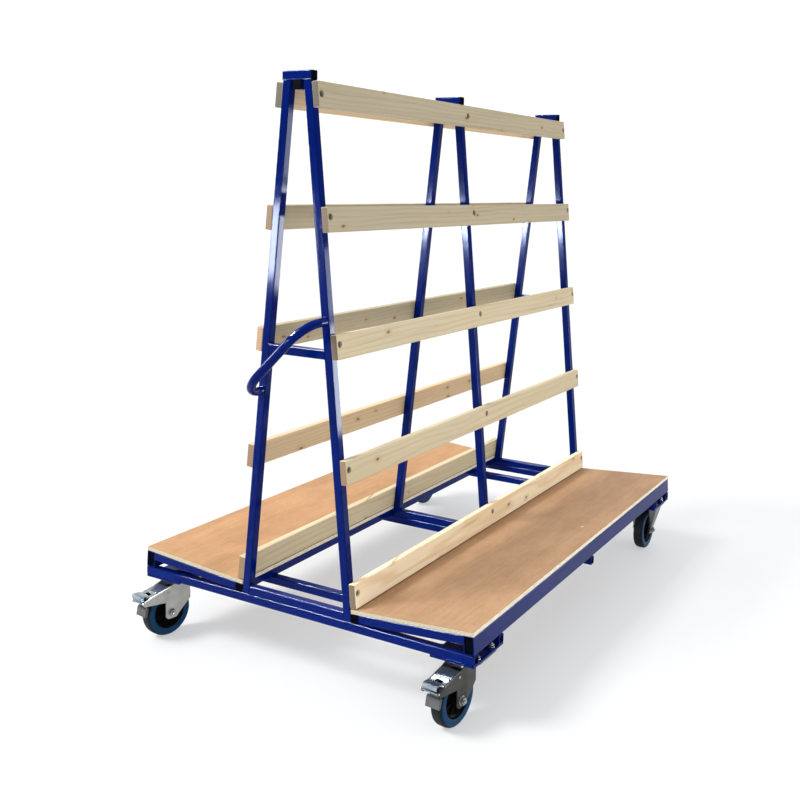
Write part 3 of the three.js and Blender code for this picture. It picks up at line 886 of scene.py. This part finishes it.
def addTurned(bm, x, y, points):
    # profile of (radius, height) turned about the swivel axis
    part = bmesh.new()
    spinLine(part, [(radius, 0, height) for radius, height in points], (0, 0, 1), 48)
    bmesh.ops.translate(part, vec=(x, y, 0), verts=part.verts)
    merge(bm, part)


# radius, and height from the pad's underside or from the top of the fork's web
race = dict(
    fromPad=[(0.0, 0.001), (0.035, 0.001), (0.0345, -0.003), (0.033, -0.006)],
    fromWeb=[(0.031, 0.0007), (0.008, 0.0007), (0.008, -0.0075), (0.0118, -0.0077), (0.0118, -0.0145),
             (0.0105, -0.016), (0.0, -0.016)],
)


def swivelPlate(node, x):
    points = [(radius, padBottom + height) for radius, height in race["fromPad"]]
    points += [(radius, caster["webTop"] + height) for radius, height in race["fromWeb"]]
    bm = bmesh.new()
    addPad(bm, x, swivelY)
    addTurned(bm, x, swivelY, points)
    finishNode(bm, node, [zinc])


# side view of the swivel caster, with y from the swivel axis and z from the floor
forkLook = dict(
    outline=[(0.008, 0.1665), (0.0095, 0.101), (-0.035, 0.0674), (-0.046, 0.057), (-0.0745, 0.0572),
             (-0.0825, 0.066), (-0.0825, 0.1115), (-0.112, 0.1155), (-0.155, 0.121), (-0.1635, 0.131),
             (-0.1625, 0.1335), (-0.131, 0.1438), (-0.1045, 0.1498), (-0.067, 0.1575), (-0.046, 0.1665)],
    corner=0.0035, edge=0.0007, creaseY=-0.041, creaseTurn=math.radians(6), blend=0.004,
    webFront=-0.038, webBack=0.0075, webDrop=0.0006, webThick=0.0064, webOverlap=0.0004, webNarrow=0.83,
    ring=[(0.009, -0.0068), (0.037, -0.0068), (0.037, -0.002), (0.0355, -0.0002), (0.009, -0.0002),
          (0.009, -0.0068)],
)


def standing(x, name):
    # from the caster's own axes to its place under the cart
    return Matrix.Translation((x, swivelY, 0)) @ Matrix.Rotation(caster["turn"][name], 4, "Z")


def forkSide(bm, side):
    gap = caster["forkGap"]
    part = bmesh.new()
    outlinePlate(part, forkLook["outline"], gap, gap + caster["forkThick"], forkLook["corner"],
                 forkLook["edge"])
    crease = forkLook["creaseY"]
    for step in range(5):
        bmesh.ops.bisect_plane(part, geom=part.verts[:] + part.edges[:] + part.faces[:],
                               plane_co=(0, crease + forkLook["blend"] * step / 4, 0), plane_no=(0, 1, 0))
    for vert in part.verts:
        past = vert.co.y - crease
        if past > 0:
            bent = past - forkLook["blend"] / 2
            if past < forkLook["blend"]:
                bent = past ** 2 / (2 * forkLook["blend"])
            vert.co.x -= math.tan(forkLook["creaseTurn"]) * bent
    if side < 0:
        bmesh.ops.scale(part, vec=(-1, 1, 1), verts=part.verts)
    merge(bm, part)


def fork(node, place, body, metal):
    half = caster["forkGap"] + forkLook["webOverlap"]
    top = caster["webTop"] - forkLook["webDrop"]
    bm = bmesh.new()
    forkSide(bm, -1)
    forkSide(bm, 1)
    verts = addBlock(bm, (-half, forkLook["webFront"], top - forkLook["webThick"]),
                     (half, forkLook["webBack"], top))
    for vert in verts:
        if vert.co.y > 0:
            vert.co.x *= forkLook["webNarrow"]
    addTurned(bm, 0, 0, [(radius, caster["webTop"] + height) for radius, height in forkLook["ring"]])
    moveAll(bm, place)
    finishNode(bm, node, [metal], body)


axleLook = dict(radius=0.006, washer=0.013, washerThick=0.0018, head=0.0108, headThick=0.0072, stud=0.0058,
                studLong=0.004, edge=0.0007)


def axleBolt(node, place, y, gap, body, nodes=()):
    z = caster["wheelRadius"]
    bm = bmesh.new()
    addDisc(bm, axleLook["radius"], -gap, gap, (0, y, z), "X", 24)
    for side in (-1, 1):
        near = gap
        layers = [(axleLook["washer"], axleLook["washerThick"], 28),
                  (axleLook["head"], axleLook["headThick"], 6)]
        if side > 0:
            layers.append((axleLook["stud"], axleLook["studLong"], 20))
        for radius, thick, corners in layers:
            ends = sorted((side * near, side * (near + thick)))
            verts = addDisc(bm, radius, *ends, (0, y, z), "X", corners)
            roundEdges(bm, capEdges(verts, 0), axleLook["edge"], 2)
            near += thick
    moveAll(bm, place)
    finishPiece(bm, node + "_look", [boltSteelAndShade], body, nodes)


wheelLook = dict(half=0.019, hubHalf=0.022, tyreInner=0.052, bore=0.0065, dish=0.0425, hub=0.0185, ribs=8,
                 ribThick=0.0032, ribShort=0.005, ribShare=0.62, ribTurn=0.2, treadDrop=0.0048,
                 wallDrop=0.0003)


def wheel(node, place, y, body):
    radius = caster["wheelRadius"]
    half = wheelLook["half"]
    inner = wheelLook["tyreInner"]
    hub = wheelLook["hub"]
    hubHalf = wheelLook["hubHalf"]
    # half the section from the tread to the bore, as radius and distance across
    section = [
        (radius, 0.0), (radius, 0.4 * half), (radius - 0.0006, 0.62 * half), (radius - 0.0022, 0.82 * half),
        (radius - 0.005, 0.95 * half), (radius - 0.009, half), (radius - 0.0185, half),
        (radius - 0.021, 0.93 * half), (inner, 0.9 * half), (inner - 0.0005, 0.72 * half),
        (inner - 0.004, 0.7 * half), (inner - 0.0065, 0.62 * half), (wheelLook["dish"], 0.42 * half),
        (hub + 0.0065, 0.38 * half), (hub + 0.003, 0.46 * half), (hub + 0.001, hubHalf - 0.001),
        (hub, hubHalf), (wheelLook["bore"], hubHalf),
    ]
    line = [(across, 0, away) for away, across in reversed(section)]
    line += [(-across, 0, away) for away, across in section[1:]]
    bm = bmesh.new()
    spinLine(bm, line + line[:1], (1, 0, 0), 64)
    for face in bm.faces:
        centre = face.calc_center_median()
        distance = math.hypot(centre.y, centre.z)
        face.material_index = 2
        if distance > inner - wheelLook["wallDrop"]:
            face.material_index = 1
        if distance > radius - wheelLook["treadDrop"]:
            face.material_index = 0
    ribs = bmesh.new()
    x = wheelLook["ribShare"] * half
    thick = wheelLook["ribThick"] / 2
    for count in range(wheelLook["ribs"]):
        verts = addBlock(ribs, (-x, -thick, hub), (x, thick, inner - wheelLook["ribShort"]))
        turn = Matrix.Rotation(2 * math.pi * count / wheelLook["ribs"] + wheelLook["ribTurn"], 3, "X")
        bmesh.ops.rotate(ribs, verts=verts, cent=(0, 0, 0), matrix=turn)
    merge(bm, ribs, 2)
    bmesh.ops.translate(bm, vec=(0, y, radius), verts=bm.verts)
    moveAll(bm, place)
    finishNode(bm, node, [treadRubber, blueRubber, hubPlastic], body, 40)


# side view again; the brake's block and the stem that holds it ride on the pedal
pedal = dict(
    half=0.0252, thick=0.0025, edge=0.0005, hinge=(-0.074, 0.143), pin=0.004, pinEnd=0.0306,
    cover=[(-0.066, 0.1525), (-0.0705, 0.157), (-0.09, 0.1532), (-0.1045, 0.1498), (-0.131, 0.144),
           (-0.15, 0.1382), (-0.1645, 0.1333)],
    cheek=[(-0.068, 0.1545), (-0.09, 0.152), (-0.1045, 0.1487), (-0.131, 0.143), (-0.152, 0.1365),
           (-0.148, 0.128), (-0.082, 0.138), (-0.068, 0.138)],
    cheekThick=0.0022, cheekEdge=0.0004,
    slotBack=-0.1185, slotFront=-0.1375, slotHalf=0.0125, slotCorner=0.006, slotLow=0.12, slotHigh=0.17,
    ridge=[(-0.1065, 0.1492), (-0.1085, 0.1525), (-0.1125, 0.1518), (-0.1145, 0.1472)], ridgeHalf=0.0225,
    neck=[(-0.1225, 0.138), (-0.1285, 0.1435), (-0.1385, 0.1495)], neckHalf=0.0055,
    lever=[(-0.1375, 0.1493), (-0.15, 0.1512), (-0.1615, 0.1514), (-0.165, 0.1492), (-0.1652, 0.1425)],
    leverHalf=0.0225, leverThick=0.003,
    block=[(-0.1425, 0.082), (-0.1495, 0.082), (-0.1512, 0.0855), (-0.1467, 0.1085), (-0.1425, 0.1115),
           (-0.1365, 0.108), (-0.1372, 0.103)],
    blockHalf=0.021, blockEdge=0.0012,
    stem=[(-0.1405, 0.102), (-0.1435, 0.112), (-0.1425, 0.138), (-0.1325, 0.1405), (-0.1325, 0.1165),
          (-0.1366, 0.104)],
    stemHalf=0.014, stemEdge=0.0006,
)


def addPlate(bm, outline, x0, x1, edge, slot=0):
    part = bmesh.new()
    outlinePlate(part, outline, x0, x1, 0.0, edge)
    merge(bm, part, slot)


def addSheet(bm, line, half, thick, slot=0):
    # bent sheet from a line in the side view
    outline = line + [(y, z - thick) for y, z in reversed(line)]
    addPlate(bm, outline, -half, half, pedal["edge"], slot)


def brakePedal(node, place, body):
    half = pedal["half"]
    inside = half - pedal["cheekThick"]
    bm = bmesh.new()
    addSheet(bm, pedal["cover"], half, pedal["thick"])
    opening = bmesh.new()
    verts = addBlock(opening, (-pedal["slotHalf"], pedal["slotFront"], pedal["slotLow"]),
                     (pedal["slotHalf"], pedal["slotBack"], pedal["slotHigh"]))
    roundEdges(opening, alongEdges(verts, 2), pedal["slotCorner"], 5)
    bm = subtract(bm, opening)
    addSheet(bm, pedal["ridge"], pedal["ridgeHalf"], pedal["thick"], 2)
    addSheet(bm, pedal["neck"], pedal["neckHalf"], pedal["thick"], 2)
    addSheet(bm, pedal["lever"], pedal["leverHalf"], pedal["leverThick"])
    for side in (-1, 1):
        addPlate(bm, pedal["cheek"], *sorted((side * half, side * inside)), pedal["cheekEdge"])
        pin = bmesh.new()
        ends = sorted((side * inside, side * pedal["pinEnd"]))
        addDisc(pin, pedal["pin"], *ends, (0, *pedal["hinge"]), "X", 20)
        merge(bm, pin, 2)
    addPlate(bm, pedal["block"], -pedal["blockHalf"], pedal["blockHalf"], pedal["blockEdge"], 1)
    addPlate(bm, pedal["stem"], -pedal["stemHalf"], pedal["stemHalf"], pedal["stemEdge"], 3)
    moveAll(bm, place)
    finishNode(bm, node, [brightZinc, shoePlastic, boltSteelAndShade, darkSteel], body)


bracketLook = dict(splay=0.27, gap=0.029, top=0.034, low=0.014, tip=0.011, drop=0.0165, overlap=0.0005,
                   corner=0.003, edge=0.0007, fold=0.0026, foldStart=0.012, foldEdge=0.0005)


def addFold(bm, x, side, end):
    # the leg's edge folded back to the wheel's side, widest under the pad
    radius = caster["wheelRadius"]
    inner = side * bracketLook["gap"]
    half = bracketLook["fold"] / 2
    outline = [(inner, padBottom), (inner, radius + bracketLook["foldStart"])]
    for z in (radius + bracketLook["foldStart"], padBottom):
        outer = bracketLook["gap"] + caster["forkThick"] / 2 + bracketLook["splay"] * (z - radius)
        outline.append((side * outer, z))
    part = bmesh.new()
    outlinePlate(part, outline, -half, half, 0.0, bracketLook["foldEdge"])
    slope = end * (bracketLook["top"] - bracketLook["low"]) / (padBottom - radius)
    shear = Matrix.Identity(4)
    shear[1][2] = slope
    shear.translation = (x, rigidY + end * (bracketLook["low"] - half) - slope * radius, 0)
    moveAll(part, shear @ Matrix.Rotation(-math.pi / 2, 4, "Z"))
    merge(bm, part)


def rigidBracket(node, x):
    radius = caster["wheelRadius"]
    thick = caster["forkThick"]
    splay = bracketLook["splay"]
    bm = bmesh.new()
    addPad(bm, x, rigidY)
    half = [(bracketLook["top"], padBottom + bracketLook["overlap"]), (bracketLook["low"], radius),
            (bracketLook["tip"], radius - bracketLook["drop"])]
    outline = [(rigidY - y, z) for y, z in half] + [(rigidY + y, z) for y, z in reversed(half)]
    for side in (-1, 1):
        part = bmesh.new()
        outlinePlate(part, outline, -thick / 2, thick / 2, bracketLook["corner"], bracketLook["edge"])
        shear = Matrix.Identity(4)
        shear[0][2] = side * splay
        shear.translation = (x + side * (bracketLook["gap"] + thick / 2 - splay * radius), 0, 0)
        moveAll(part, shear)
        merge(bm, part)
        addFold(bm, x, side, -1)
        addFold(bm, x, side, 1)
    finishNode(bm, node, [zinc])


for name, side in sides:
    x = side * caster["x"]
    forkBody = "fork_" + name
    turned = standing(x, name)
    straight = Matrix.Translation((x, 0, 0))
    mountPlate("caster_mount_front_" + name)
    mountPlate("caster_mount_rear_" + name)
    mountBolts("caster_bolts_front_" + name, x, swivelY)
    mountBolts("caster_bolts_rear_" + name, x, rigidY)
    swivelPlate("swivel_plate_" + name, x)
    fork("swivel_fork_" + name, turned, forkBody, zincForksRightShaded[name])
    axleBolt("axle_front_" + name, turned, -caster["offset"], caster["forkGap"] + caster["forkThick"],
             forkBody, ["axle_front_" + name])
    wheel("wheel_front_" + name, turned, -caster["offset"], "front_wheel_" + name)
    brakePedal("brake_pedal_" + name, turned, "pedal_" + name)
    rigidBracket("rigid_bracket_" + name, x)
    axleBolt("rear_bolt_" + name, straight, rigidY, bracketLook["gap"] + caster["forkThick"], "frame")
    wheel("wheel_rear_" + name, straight, rigidY, "rear_wheel_" + name)
print("casters made")

# floor, light and camera

studio = dict(
    ahead=(-0.4785, 0.8781, 0.0), floorSize=60.0, floorPale=0.32, floorLift=0.47,
    backdrop=1.08, backdropFrom=0.74, backdropTo=0.88, dim=0.3,
    overhead=1.08, overheadFrom=0.25, overheadTo=0.6, sun=3.4, sunSpread=20, sunWay=(0.52, 0.52, -0.8),
)


def makeFloor():
    bm = bmesh.new()
    bmesh.ops.create_grid(bm, x_segments=1, y_segments=1, size=studio["floorSize"])
    mesh = bpy.data.meshes.new("floor")
    bm.to_mesh(mesh)
    bm.free()
    pale = studio["floorPale"]
    material = startMaterial("paleFloor", Roughness=0.6, Specular_IOR_Level=0.1,
                             Base_Color=(pale, pale, pale, 1), Emission_Color=(0.97, 1.0, 1.03, 1),
                             Emission_Strength=studio["floorLift"])
    mesh.materials.append(material)
    floor = bpy.data.objects.new("floor", mesh)
    bpy.context.collection.objects.link(floor)


def softBox(name, place, target, wide, tall, radiance, mirrored=True):
    light = bpy.data.lights.new(name, "AREA")
    light.shape = "RECTANGLE"
    light.size = wide
    light.size_y = tall
    light.energy = radiance * math.pi * wide * tall
    lamp = bpy.data.objects.new(name, light)
    lamp.location = place
    lamp.rotation_euler = (Vector(target) - Vector(place)).to_track_quat("-Z", "Y").to_euler()
    # seen either in glossy reflections or as plain fill
    lamp.visible_diffuse = not mirrored
    lamp.visible_glossy = mirrored
    lamp.visible_camera = False
    bpy.context.collection.objects.link(lamp)


def makeWorld():
    # plain white to look at; it lights the cart from ahead and overhead, and dimly from the other sides
    world = bpy.data.worlds.new("studio")
    world.use_nodes = True
    point = addNode(world, "ShaderNodeTexCoord").outputs["Generated"]
    height = addNode(world, "ShaderNodeSeparateXYZ", Vector=point).outputs["Z"]
    above = rangeAt(world, height, studio["dim"], studio["overhead"], studio["overheadFrom"],
                    studio["overheadTo"])
    facing = addNode(world, "ShaderNodeVectorMath", dict(operation="DOT_PRODUCT"))
    feed(world, point, facing.inputs[0])
    feed(world, studio["ahead"], facing.inputs[1])
    ahead = rangeAt(world, facing.outputs["Value"], 0.0, studio["backdrop"], studio["backdropFrom"],
                    studio["backdropTo"])
    background = world.node_tree.nodes["Background"]
    background.inputs["Color"].default_value = (1, 1, 1, 1)
    looked = addNode(world, "ShaderNodeLightPath").outputs["Is Camera Ray"]
    plain = calculate(world, "MULTIPLY", looked, studio["backdrop"])
    lit = calculate(world, "MAXIMUM", above, ahead)
    feed(world, calculate(world, "MAXIMUM", lit, plain), background.inputs["Strength"])
    bpy.context.scene.world = world


def sunLight():
    light = bpy.data.lights.new("sun", "SUN")
    light.energy = studio["sun"]
    light.angle = math.radians(studio["sunSpread"])
    lamp = bpy.data.objects.new("sun", light)
    lamp.rotation_euler = Vector(studio["sunWay"]).to_track_quat("-Z", "Y").to_euler()
    bpy.context.collection.objects.link(lamp)


makeFloor()
makeWorld()
sunLight()
softBox("boxRightLow", (2.04, 1.92, 0.62), (0.0, -0.75, 0.62), 0.85, 0.64, 36.0)
softBox("boxRightHigh", (2.04, 1.92, 1.19), (0.0, -0.75, 1.19), 0.85, 0.4, 14.0)
softBox("boxLeft", (-3.7, -5.05, 0.9), (-0.1, -0.8, 1.2), 0.55, 0.6, 150.0)
softBox("boxFar", (-10.6, -20.9, 0.4), (0.0, 0.3, 1.2), 4.2, 0.8, 330.0)
softBox("boxSide", (-2.85, -1.2, 1.6), (0.0, -0.9, 0.95), 0.4, 0.4, 80.0)
softBox("boxEdge", (-1.8, -2.1, 2.7), (0.0, -0.76, 0.3), 1.9, 0.7, 480.0)
softBox("fillRight", (3.3, 0.3, 0.8), (0.2, 0.1, 0.5), 2.6, 1.1, 2.6, mirrored=False)
bpy.context.scene.view_settings.view_transform = "Standard"

# camera worked out from the photograph's perspective
view = dict(focal=994.628, centreX=462.21, centreY=305.39, azimuth=28.592, pitch=6.91, roll=1.387,
            place=(1.667705, centreY - 2.938167, 1.39639), width=800)


def makeCamera():
    a, e, r = (math.radians(view[k]) for k in ("azimuth", "pitch", "roll"))
    forward = Vector((-math.sin(a) * math.cos(e), math.cos(a) * math.cos(e), -math.sin(e)))
    right = Vector((math.cos(a), math.sin(a), 0))
    up = right.cross(forward)
    turnedRight = right * math.cos(r) + up * math.sin(r)
    turnedUp = up * math.cos(r) - right * math.sin(r)
    lens = bpy.data.cameras.new("camera")
    lens.sensor_width = 36
    lens.sensor_fit = "HORIZONTAL"
    lens.lens = view["focal"] / view["width"] * lens.sensor_width
    lens.shift_x = (view["width"] / 2 - view["centreX"]) / view["width"]
    lens.shift_y = (view["centreY"] - view["width"] / 2) / view["width"]
    lens.clip_end = 100
    camera = bpy.data.objects.new("camera", lens)
    turn = Matrix((turnedRight, turnedUp, -forward)).transposed().to_4x4()
    camera.matrix_world = Matrix.Translation(view["place"]) @ turn
    bpy.context.collection.objects.link(camera)
    bpy.context.scene.camera = camera


makeCamera()
print("stage made")
